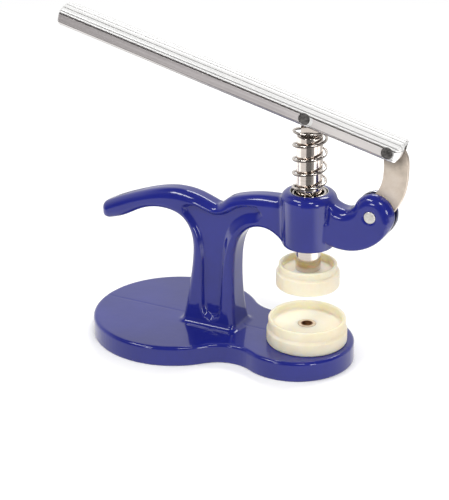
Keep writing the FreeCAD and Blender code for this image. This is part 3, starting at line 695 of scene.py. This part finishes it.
def threaded(name, radius, low, high, inner=None):
    """Screw thread as a wavy tube wall. With inner, it is cut in the bore of a plain ring of that radius."""
    depth, pitch, taper, steps = 0.38, 1.0, 0.5, 64
    count = int((high - low) / pitch * 12)
    heights = np.linspace(low, high, count + 1)
    angles = np.linspace(0, 2 * math.pi, steps, endpoint=False)
    wall = []
    for z in heights:
        fade = min(1.0, (z - low) / taper, (high - z) / taper)
        ring = []
        for angle in angles:
            phase = ((z / pitch - angle / (2 * math.pi)) % 1.0) * 2 - 1
            wave = (1 - abs(phase)) * depth * fade
            r = radius + (wave if inner else -wave)
            ring.append((r * math.cos(angle), r * math.sin(angle), z))
        wall.append(ring)
    if not inner:
        return skin(name, wall)
    soft = 0.3
    outside = rounded([(radius, high, 0), (inner, high, soft), (inner, low, soft), (radius, low, 0)], steps=3)
    shell = [[(r * math.cos(a), r * math.sin(a), z) for a in angles] for r, z in outside]
    return skin(name, wall + shell, closed_run=True)


def dies():
    """The two nylon dies with their brass inserts."""
    low, high = span("upper_die")
    foot, top, wide = low[2], high[2], high[1]
    step, floor, ceiling, neck, wall = 50.0, 45.8, 51.0, 15.0, 1.8
    seat = 4.8
    outline = rounded([(seat, floor, 0.15), (wide - wall, floor, 0.7), (wide - wall, foot, 0.7),
                       (wide, foot, 0.9), (wide, step, 0.9), (neck, step + 0.6, 0.8), (neck, top, 0.8),
                       (neck - wall, top, 0.8), (neck - wall, ceiling, 1.2), (seat, ceiling, 0.15)])
    add("upper_die_nylon", lathe("upper_die_nylon", outline), "upper_die", "ivory_nylon", "upper_die")

    low, high = span("lower_die")
    foot, top, wide = low[2], high[2], high[1]
    step, neck, floor = foot + 6.4, 20.1, top - 4.0
    outline = rounded([(seat, foot, 0.2), (wide, foot, 0.9), (wide, step, 1.1), (neck, step + 1.5, 1.1),
                       (neck, top, 0.8), (neck - wall, top, 0.8), (neck - wall, floor, 1.4),
                       (seat, floor, 0.15)])
    add("lower_die_nylon", lathe("lower_die_nylon", outline), "lower_die", "ivory_nylon", "lower_die")

    thread = 2.62
    for node, body in (("upper_die_insert", "upper_die"), ("lower_die_insert", "lower_die")):
        low, high = span(node)
        mesh = threaded(f"{node}_brass", thread, low[2], high[2], inner=seat)
        add(f"{node}_brass", mesh, body, "brass", node, sharp=50)


def fasteners():
    """The stud in the plunger and the socket screw from under the base."""
    low, high = span("upper_die_stud")
    stud = threaded("stud_thread", high[0], low[2], high[2])
    add("stud_thread", stud, "plunger", "screw_steel", "upper_die_stud", sharp=50)

    low, high = span("base_screw")
    foot, seat, head = low[2], low[2] + 6.0, high[0]
    shank, key_corner = 2.95, 2.95
    cap_outline = rounded([(0, foot, 0), (head, foot, 0.5), (head, seat, 0.2), (0, seat, 0)])
    cap = lathe("screw_cap", cap_outline, steps=72)
    hexagon = arc((0, 0), key_corner, 0, 300, 6)
    key = skin("key", [[(x, y, height) for x, y in hexagon] for height in (foot - 1, foot + 3)])
    stem = threaded("stem", shank, seat - 0.5, high[2])
    mesh = carve(carve(cap, [key]), [stem], "UNION")
    add("screw_socket_head", mesh, "frame", "screw_steel", "base_screw", sharp=50)


def spring():
    """Round wire with closed end coils. Each slice of wire moves as one, so it stays round as it shortens."""
    low, high = span("return_spring")
    wire, closed, pitch, start = 0.7, 0.75, 7.4, math.radians(168.6)
    reach = high[0] - wire
    height = high[2] - low[2] - 2 * wire
    working = (height - 4 * closed * wire) / pitch
    total, slices, sides = working + 2 * closed, 56, 14
    centres, shares = [], []
    for turn in np.linspace(0, total, int(total * slices)):
        lower, upper = min(turn, closed), max(turn - closed - working, 0)
        rise = (lower + upper) * 2 * wire + (turn - lower - upper) * pitch
        angle = start + 2 * math.pi * turn
        centres.append((reach * math.cos(angle), reach * math.sin(angle), low[2] + wire + rise))
        shares.append((turn - lower - upper) / working)
    centres = np.array(centres)
    rings, weights = [], []
    tangents = np.gradient(centres, axis=0)
    for centre, tangent, share in zip(centres, tangents, shares):
        tangent = tangent / np.linalg.norm(tangent)
        outward = np.array([centre[0], centre[1], 0]) / reach
        outward = outward - tangent * (outward @ tangent)
        outward /= np.linalg.norm(outward)
        upward = np.cross(tangent, outward)
        turns = 2 * math.pi * np.arange(sides) / sides
        rings.append([centre + wire * (math.cos(t) * outward + math.sin(t) * upward) for t in turns])
        weights += [share] * sides
    mesh = bpy.data.meshes.new("press_spring")
    mesh.from_pydata((np.array(rings).reshape(-1, 3) * MM).tolist(), [], row_faces(len(rings), sides))
    piece = shaded("press_spring", mesh, "spring_steel", 50)
    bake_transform(piece, "frame", "plunger", start=(0, 0, low[2] * MM), end=(0, 0, high[2] * MM))
    mesh.attributes["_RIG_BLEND"].data.foreach_set("value", np.array(weights, np.float32))
    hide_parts("return_spring")


# ---- Materials ----

class Nodes:
    """A node tree, built one node at a time."""

    def __init__(self, tree):
        self.tree = tree

    def node(self, kind, inputs=None, **settings):
        made = self.tree.nodes.new(kind)
        for key, value in settings.items():
            setattr(made, key, value)
        for key, value in (inputs or {}).items():
            self.feed(made.inputs[key], value)
        return made

    def feed(self, socket, value):
        if isinstance(value, bpy.types.NodeSocket):
            self.tree.links.new(value, socket)
        else:
            socket.default_value = value

    def calc(self, operation, *values):
        return self.node("ShaderNodeMath", dict(enumerate(values)), operation=operation).outputs[0]

    def times(self, *values):
        return self.calc("MULTIPLY", *values)

    def above(self, value, limit):
        return self.calc("GREATER_THAN", value, limit)

    def below(self, value, limit):
        return self.calc("LESS_THAN", value, limit)

    def most(self, first, *others):
        for other in others:
            first = self.calc("MAXIMUM", first, other)
        return first

    def scaled(self, value, gain, offset):
        """Value times gain, plus offset."""
        return self.calc("MULTIPLY_ADD", value, gain, offset)

    def smooth(self, value, low, high, start=0.0, end=1.0):
        """Eased change from start to end as the value goes from low to high."""
        inputs = {"Value": value, "From Min": low, "From Max": high, "To Min": start, "To Max": end}
        return self.node("ShaderNodeMapRange", inputs, interpolation_type="SMOOTHSTEP").outputs[0]

    def split(self, vector):
        return self.node("ShaderNodeSeparateXYZ", {0: vector}).outputs

    def vector(self, operation, first, second):
        made = self.node("ShaderNodeVectorMath", {0: first, 1: tuple(second)}, operation=operation)
        return made.outputs["Value" if operation in ("DOT_PRODUCT", "DISTANCE") else "Vector"]

    def light(self, kind, colour, strength):
        return self.node(kind, {"Color": (*colour, 1), "Strength": strength}).outputs[0]

    def either(self, second_share, first, second):
        """Mix of two surfaces or two backgrounds."""
        return self.node("ShaderNodeMixShader", {0: second_share, 1: first, 2: second}).outputs[0]


class Shader(Nodes):
    """A material around the standard surface, with masks measured from places on the press."""

    def __init__(self, name):
        self.material = bpy.data.materials.new(name)
        self.material.use_nodes = True
        super().__init__(self.material.node_tree)
        self.surface = self.tree.nodes["Principled BSDF"]
        self.place = self.node("ShaderNodeTexCoord").outputs["Object"]

    def set(self, **values):
        for key, value in values.items():
            self.feed(self.surface.inputs[key.replace("_", " ")], value)

    def stretched(self, scale, turn=(0, 0, 0)):
        """Object place turned and scaled, for grain with a direction."""
        inputs = {"Vector": self.place, "Rotation": turn}
        turned = self.node("ShaderNodeVectorRotate", inputs, rotation_type="EULER_XYZ").outputs[0]
        return self.vector("MULTIPLY", turned, scale)

    def noise(self, scale, detail, vector=None, roughness=0.5):
        inputs = {"Vector": vector or self.place, "Scale": scale, "Detail": detail, "Roughness": roughness}
        return self.node("ShaderNodeTexNoise", inputs).outputs["Fac"]

    def ramp(self, factor, *stops):
        made = self.node("ShaderNodeValToRGB", {"Fac": factor})
        while len(made.color_ramp.elements) < len(stops):
            made.color_ramp.elements.new(0.5)
        for element, (position, colour) in zip(made.color_ramp.elements, stops):
            element.position = position
            element.color = (*colour, 1) if isinstance(colour, tuple) else (colour, colour, colour, 1)
        return made.outputs["Color"]

    def mix(self, factor, first, second):
        made = self.node("ShaderNodeMix", {"Factor": factor}, data_type="RGBA")
        for socket, value in ((made.inputs[6], first), (made.inputs[7], second)):
            self.feed(socket, (*value, 1) if isinstance(value, tuple) else value)
        return made.outputs[2]

    def bump(self, height, strength, distance, normal=None):
        inputs = {"Height": height, "Strength": strength, "Distance": distance}
        if normal is not None:
            inputs["Normal"] = normal
        return self.node("ShaderNodeBump", inputs).outputs[0]

    def radius_from_axis(self, x=0.0, z=None):
        """Distance from the plunger's axis, or from a pin's axis through (x, z), in millimetres."""
        parts = self.split(self.place)
        pair = (parts[0], parts[1]) if z is None else (parts[0], parts[2])
        shift = (x * MM, (z or 0) * MM)
        offsets = [self.calc("SUBTRACT", value, offset) for value, offset in zip(pair, shift)]
        squares = [self.calc("POWER", offset, 2.0) for offset in offsets]
        return self.calc("DIVIDE", self.calc("SQRT", self.calc("ADD", *squares)), MM)

    def along(self, direction, origin):
        """Distance along a direction from a point, in millimetres."""
        offset = self.vector("SUBTRACT", self.place, np.array(origin) * MM)
        return self.calc("DIVIDE", self.vector("DOT_PRODUCT", offset, direction), MM)

    def reach(self, point):
        """Distance from a point, in millimetres."""
        return self.calc("DIVIDE", self.vector("DISTANCE", self.place, np.array(point) * MM), MM)

    def height(self):
        return self.calc("DIVIDE", self.split(self.place)[2], MM)

    def rings(self, radius, height, scale):
        """Noise that goes round the plunger's axis, as a lathe tool leaves it."""
        return self.noise(scale, 2, self.node("ShaderNodeCombineXYZ", {0: radius, 1: height}).outputs[0])


def blue_powder_coat():
    """Deep blue enamel. The boss was bored after it, and the edges of the slot in the nose have worn bare.
    The walls inside the slot are painted darker, as painted shade.
    """
    s = Shader("blue_powder_coat")
    tone = s.ramp(s.noise(38, 4), (0.3, (0.008, 0.012, 0.160)), (0.7, (0.011, 0.016, 0.200)))
    peel = s.bump(s.noise(520, 2), 0.05, 0.0004)
    peel = s.bump(s.noise(110, 1), 0.05, 0.0012, peel)
    radius, height = s.radius_from_axis(), s.height()
    aside = s.calc("ABSOLUTE", s.along((0, 1, 0), (0, 0, 0)))
    boss_foot, nose_foot, nose_size = 60.0, 80.0, 12.5
    bored = s.times(s.below(radius, SEAT_RADIUS + 0.38), s.above(height, boss_foot))
    from_pin = s.radius_from_axis(NOSE_PIN[0], NOSE_PIN[2])
    nose = s.times(s.below(from_pin, nose_size), s.above(height, nose_foot))
    # Painted shade: the walls inside the nose's slot are painted near black and keep only about half their
    # coat.
    slot = s.times(nose, s.below(aside, SLOT_HALF + 0.06))
    rim = s.calc("SUBTRACT", s.times(nose, s.below(aside, SLOT_HALF + 0.4)), slot)
    bare = s.most(bored, rim)
    seam = s.times(s.smooth(aside, 0.15, 0.5, 1.0, 0.0), s.below(height, BASE_TOP + 0.5))
    seat_shade = s.smooth(height, BOSS_TOP - 1.3, BOSS_TOP - 0.3, 0.85, 0.0)
    turned_steel = s.ramp(s.rings(radius, height, 60), (0.3, 0.62), (0.7, 0.85))
    metal = s.mix(seat_shade, turned_steel, (0.04, 0.038, 0.036))
    coat = s.times(s.calc("SUBTRACT", 1.0, bare), s.scaled(s.most(seam, slot), -0.45, 1.0))
    s.set(Base_Color=s.mix(bare, s.mix(slot, tone, (0.003, 0.005, 0.05)), metal), Metallic=bare,
          Roughness=s.scaled(bare, -0.05, s.scaled(s.noise(70, 3), 0.1, 0.27)), Specular_IOR_Level=0.12,
          Coat_Weight=coat, Coat_Roughness=0.05, Coat_IOR=1.5, Normal=peel, Coat_Normal=peel)
    return s.material


def ribbed_aluminium():
    """Drawn aluminium: streaks along the bar, painted shade in the grooves between the ribs and along the
    wall's edges, a painted sheen towards the front end, and bright rings round the pins.
    """
    s = Shader("ribbed_aluminium")
    streak = s.noise(1.0, 4, s.stretched((12, 900, 900), (0, -HANDLE_TILT, 0)), 0.6)
    broad = s.noise(1.0, 2, s.stretched((6, 160, 160), (0, -HANDLE_TILT, 0)))
    length, level, sideways = s.along(ALONG, PIVOT), s.along(UPWARD, PIVOT), s.along((0, 1, 0), PIVOT)
    crown = s.smooth(level, HANDLE_WALL - 0.25, HANDLE_WALL + 0.1)

    angle = s.calc("ARCTAN2", sideways, s.calc("SUBTRACT", level, CROWN_CENTRE))
    turn = s.calc("FRACT", s.calc("ADD", s.calc("DIVIDE", angle, GROOVE_STEP), 20.5))
    from_groove = s.calc("ABSOLUTE", s.calc("SUBTRACT", turn, 0.5))
    groove = s.times(crown, s.smooth(from_groove, 0.05, 0.13, 1.0, 0.0))
    notch = s.times(s.smooth(level, HANDLE_WALL - 0.9, HANDLE_WALL - 0.75),
                    s.smooth(level, HANDLE_WALL - 0.5, HANDLE_WALL - 0.35, 1.0, 0.0))
    bevel_top = HANDLE_UNDER + BEVEL_HEIGHT
    edge = s.calc("ABSOLUTE", s.calc("SUBTRACT", level, bevel_top + 0.15))
    under = s.most(s.smooth(level, HANDLE_UNDER + 0.5, HANDLE_UNDER + 0.25, 0.0, 0.6),
                   s.smooth(edge, 0.15, 0.35, 0.45, 0.0))
    # Painted shade: darker in the grooves between the ribs, in the notch at the top of the wall, along the
    # bottom edge and at the top of the bevel.
    painted_crease_shade = s.most(under, s.times(groove, 0.6), s.times(notch, 0.85))

    # Painted sheen: the wall and the bevel are painted lighter towards the front end of the bar.
    painted_sheen = s.smooth(length, -20, 25, 0.0, 0.9)
    drawn = s.ramp(streak, (0.3, (0.55, 0.515, 0.52)), (0.7, (0.71, 0.67, 0.67)))
    wall = s.mix(painted_sheen, drawn, (0.96, 0.92, 0.90))
    bevel = s.smooth(level, bevel_top + 0.05, bevel_top - 0.1)
    wall = s.mix(bevel, wall, s.mix(painted_sheen, (0.52, 0.50, 0.495), (0.70, 0.675, 0.67)))
    front = s.smooth(length, HANDLE_FRONT - 3.2, HANDLE_FRONT - 2.4)
    spots = []
    for centre in (PIVOT + SPOT_SHIFT * ALONG, LINK_PIN + SPOT_SHIFT * ALONG):
        spots.append(s.below(s.radius_from_axis(centre[0], centre[2]), SPOT_RADIUS))
    polished = s.mix(s.most(front, *spots), wall, (0.95, 0.945, 0.94))
    ribs = s.ramp(streak, (0.3, (0.66, 0.66, 0.655)), (0.7, (0.73, 0.725, 0.72)))
    colour = s.mix(painted_crease_shade, s.mix(crown, polished, ribs), (0.05, 0.048, 0.047))
    s.set(Base_Color=colour, Metallic=s.scaled(crown, -0.78, 0.9), Roughness=s.scaled(broad, 0.2, 0.26),
          Normal=s.bump(streak, 0.12, 0.0003))
    return s.material


def plated(name, dark, light, rough, lathed=False, underside_shade=0.0):
    """Bright plated steel, with turning marks round its axis or with painted shade on the sides that face
    down.
    """
    s = Shader(name)
    marks = s.noise(60, 3, s.stretched((1, 1, 90))) if lathed else s.noise(300, 3)
    colour = s.ramp(marks, (0.3, dark), (0.7, light))
    if underside_shade:
        # Painted shade: the metal is painted dark brown where its surface faces down.
        normal = s.node("ShaderNodeNewGeometry").outputs["Normal"]
        facing = s.smooth(s.split(normal)[2], -0.25, 0.4, underside_shade, 0.0)
        colour = s.mix(facing, colour, (0.045, 0.032, 0.024))
    s.set(Base_Color=colour, Metallic=1.0, Roughness=s.scaled(s.noise(140, 3), rough * 0.7, rough * 0.65),
          Normal=s.bump(marks, 0.02, 0.0002))
    return s.material


def link_steel():
    """Stamped sheet with a dull, slightly stained plate, browner where the handle shades it."""
    s = Shader("link_steel")
    stain = s.noise(95, 5, None, 0.62)
    fine = s.noise(900, 3)
    plate_tone = s.ramp(stain, (0.32, (0.62, 0.53, 0.44)), (0.5, (0.76, 0.66, 0.56)),
                        (0.72, (0.85, 0.77, 0.69)))
    reach = s.scaled(stain, 8.0, s.radius_from_axis(LINK_PIN[0], LINK_PIN[2]))
    colour = s.mix(s.smooth(reach, 9.0, 16.0, 0.75, 0.0), plate_tone, (0.20, 0.165, 0.14))
    s.set(Base_Color=colour, Metallic=0.7, Roughness=s.scaled(stain, 0.25, 0.33),
          Normal=s.bump(fine, 0.12, 0.0003, s.bump(stain, 0.1, 0.0008)))
    return s.material


def pin_steel(name, dark, light, rough):
    """Pin end with scuffed, roughly faced metal."""
    s = Shader(name)
    scuff = s.noise(700, 4, s.stretched((1, 0.25, 1.6), (0, 0.5, 0)), 0.65)
    s.set(Base_Color=s.ramp(scuff, (0.35, dark), (0.68, light)), Metallic=0.9,
          Roughness=s.scaled(scuff, 0.3, rough), Normal=s.bump(scuff, 0.35, 0.0004))
    return s.material


def ivory_nylon():
    """Cast nylon: cloudy, slightly see-through, with fine turning rings, and the insides of the cups painted
    paler as painted light.
    """
    s = Shader("ivory_nylon")
    cloud = s.noise(75, 5, None, 0.6)
    speck = s.noise(480, 2)
    body_tone = s.ramp(cloud, (0.28, (0.70, 0.63, 0.46)), (0.55, (0.74, 0.685, 0.55)),
                       (0.8, (0.77, 0.73, 0.62)))
    painted_cup_light = s.ramp(cloud, (0.28, (0.85, 0.785, 0.62)), (0.8, (0.90, 0.86, 0.735)))
    radius, height = s.radius_from_axis(), s.height()
    between_dies, lower_cup, upper_is_smaller_by = 30.0, 18.4, 5.2
    reach = s.calc("ADD", radius, s.smooth(height, between_dies, between_dies + 1, 0.0, upper_is_smaller_by))
    # Painted light: the insides of both cups are painted paler than the body.
    cup = s.smooth(reach, lower_cup, lower_cup + 0.3, 1.0, 0.0)
    s.set(Base_Color=s.mix(cup, body_tone, painted_cup_light), Roughness=s.scaled(speck, 0.16, 0.34),
          Subsurface_Weight=0.85, Subsurface_Radius=(0.006, 0.0045, 0.0025), Subsurface_Scale=0.8,
          Specular_IOR_Level=0.42,
          Normal=s.bump(s.rings(radius, height, 2.6), 0.08, 0.0004, s.bump(speck, 0.05, 0.0004)))
    return s.material


def brass():
    """Brass insert: pale faced ring, brown edge, and a thread painted dark reddish as painted shade in the
    bore.
    """
    s = Shader("brass")
    tone = s.noise(260, 3)
    radius = s.radius_from_axis()
    ring = s.ramp(tone, (0.3, (0.60, 0.46, 0.30)), (0.7, (0.84, 0.72, 0.55)))
    thread, rim = 2.95, 4.45
    # Painted shade: the thread in the bore is painted dark reddish.
    painted_thread_shade = s.smooth(radius, thread, thread + 0.35, 1.0, 0.0)
    dark = s.most(s.smooth(radius, rim, rim + 0.2, 0.0, 0.6), painted_thread_shade)
    s.set(Base_Color=s.mix(dark, ring, (0.26, 0.12, 0.055)), Metallic=1.0,
          Roughness=s.scaled(tone, 0.2, 0.22), Normal=s.bump(tone, 0.08, 0.0003))
    return s.material


FINISH = {
    "blue_powder_coat": blue_powder_coat(),
    "ribbed_aluminium": ribbed_aluminium(),
    "nickel_plate": plated("nickel_plate", (0.62, 0.55, 0.50), (0.76, 0.70, 0.65), 0.12, lathed=True),
    "spring_steel": plated("spring_steel", (0.62, 0.56, 0.51), (0.82, 0.77, 0.72), 0.16, underside_shade=0.92),
    "link_steel": link_steel(),
    "dark_pin_steel": pin_steel("dark_pin_steel", (0.07, 0.068, 0.066), (0.21, 0.20, 0.195), 0.34),
    "bright_pin_steel": pin_steel("bright_pin_steel", (0.70, 0.67, 0.62), (0.88, 0.86, 0.83), 0.3),
    "ivory_nylon": ivory_nylon(),
    "brass": brass(),
    "screw_steel": plated("screw_steel", (0.24, 0.235, 0.23), (0.42, 0.41, 0.40), 0.3),
}


# ---- Pieces ----

casting()
handle()
link()
plunger()
pin("plunger_pin_steel", "plunger_pin", "handle", "dark_pin_steel")
pin("handle_link_pin_steel", "handle_link_pin", "handle", "dark_pin_steel")
pin("nose_pin_steel", "nose_pin", "frame", "bright_pin_steel", crown=0.1)
dies()
fasteners()
spring()


# ---- Stage ----

CAMERA_SIDE = math.radians(27.54)


def floor():
    """Wide pale floor. In shiny metal it has the photographer's shadow in front and is darker far away."""
    half, steps = 3000.0, 96
    rim = [(x, y, 0) for x, y in arc((0, 0), half, 0, 360, steps + 1)[:-1]]
    sheet = linked("studio_floor", built("studio_floor", rim, [tuple(range(steps))]))
    s = Shader("studio_paper")
    s.set(Base_Color=s.ramp(s.noise(3, 2), (0.3, 0.92), (0.7, 0.94)), Roughness=0.9, Specular_IOR_Level=0.0)
    path = s.node("ShaderNodeLightPath").outputs
    centre = (-40, 0, 0)
    front = s.along((math.sin(CAMERA_SIDE), -math.cos(CAMERA_SIDE), 0), (0, 0, 0))
    right = s.along((math.cos(CAMERA_SIDE), math.sin(CAMERA_SIDE), 0), (0, 0, 0))
    strength = s.smooth(s.reach(centre), 360, 700, 0.97, 0.25)
    # Brighter in front on the right, darker behind there, brighter behind on the left.
    for side, depth, gain in ((s.smooth(right, 25, 110), s.smooth(front, -30, 30), 1.2),
                              (s.smooth(right, 40, 120), s.smooth(front, -60, -160), -0.3),
                              (s.smooth(right, -120, -200), s.smooth(front, 50, -30), 0.8)):
        strength = s.times(strength, s.scaled(s.times(side, depth), gain, 1.0))
    ahead = s.calc("DIVIDE", front, s.reach((0, 0, 0)))
    shadow = s.times(s.smooth(ahead, 0.78, 0.86), s.smooth(path["Ray Length"], 0.225, 0.24, 0.0, 0.82))
    strength = s.times(strength, s.calc("SUBTRACT", 1.0, shadow))
    glow = s.light("ShaderNodeEmission", (1, 0.99, 0.98), strength)
    white = s.light("ShaderNodeEmission", (1, 1, 1), 1.0)
    far = s.times(path["Is Camera Ray"], s.smooth(s.reach(centre), 350, 900))
    seen = s.either(far, s.surface.outputs[0], white)
    s.feed(s.tree.nodes["Material Output"].inputs["Surface"], s.either(path["Is Glossy Ray"], seen, glow))
    sheet.data.materials.append(s.material)


def surroundings():
    """Even light on dull surfaces. Shiny ones mirror a bright backdrop behind the press and a dim room."""
    world = bpy.data.worlds.new("studio")
    bpy.context.scene.world = world
    world.use_nodes = True
    w = Nodes(world.node_tree)
    way = w.node("ShaderNodeTexCoord").outputs["Generated"]
    height = w.split(way)[2]
    even = w.tree.nodes["Background"]
    w.feed(even.inputs["Color"], (1.0, 0.995, 0.985, 1))
    w.feed(even.inputs["Strength"], w.smooth(height, 0.0, 0.9, 0.45, 0.85))
    behind = (-math.sin(CAMERA_SIDE), math.cos(CAMERA_SIDE), 0)
    back = w.vector("DOT_PRODUCT", way, behind)
    lit = w.times(w.smooth(back, -0.25, 0.35), w.smooth(height, 0.78, 0.5))
    mirrored = w.light("ShaderNodeBackground", (1, 0.99, 0.98), w.scaled(lit, 0.8, 0.05))
    white = w.light("ShaderNodeBackground", (1, 1, 1), 1.0)
    path = w.node("ShaderNodeLightPath").outputs
    unseen = w.either(path["Is Glossy Ray"], even.outputs[0], mirrored)
    w.feed(w.tree.nodes["World Output"].inputs["Surface"], w.either(path["Is Camera Ray"], unseen, white))


def softbox(name, place, aim, size, power, shape=1.0):
    """Rectangular area light that faces a point, both in millimetres."""
    light = bpy.data.lights.new(name, "AREA")
    light.shape, light.size, light.size_y, light.energy = "RECTANGLE", size * MM, size * shape * MM, power
    lamp = linked(name, light)
    lamp.location = Vector(place) * MM
    lamp.rotation_mode = "QUATERNION"
    lamp.rotation_quaternion = (Vector(place) - Vector(aim)).to_track_quat("Z", "Y")


def studio():
    """Backdrop light, five softboxes and plain tones."""
    surroundings()
    heart = (-40, 0, 80)
    softbox("key", (-430, -420, 800), heart, 460, 2.6, shape=0.3)
    softbox("side", (330, -470, 760), heart, 200, 1.4)
    softbox("front", (-220, -860, 330), heart, 160, 0.8)
    softbox("right", (620, -420, 230), heart, 130, 1.1, shape=1.8)
    softbox("rim", (-60, 520, 720), heart, 600, 3.0, shape=0.3)
    bpy.context.scene.view_settings.view_transform = "Standard"


def camera():
    """View from the front right, a little above."""
    azimuth, elevation, distance = CAMERA_SIDE, math.radians(23.52), 774.5
    roll = math.radians(-0.42)
    back = Vector((math.sin(azimuth) * math.cos(elevation), -math.cos(azimuth) * math.cos(elevation),
                   math.sin(elevation)))
    right = Vector((math.cos(azimuth), math.sin(azimuth), 0))
    up = back.cross(right)
    target = right * -42.56 + up * 56.39
    side = right * math.cos(roll) + up * math.sin(roll)
    rise = up * math.cos(roll) - right * math.sin(roll)
    view = bpy.data.cameras.new("view")
    view.lens = 106.23
    eye = linked("view", view)
    turn = Matrix((side, rise, back)).transposed().to_4x4()
    eye.matrix_world = Matrix.Translation((target + back * distance) * MM) @ turn
    bpy.context.scene.camera = eye


floor()
studio()
camera()
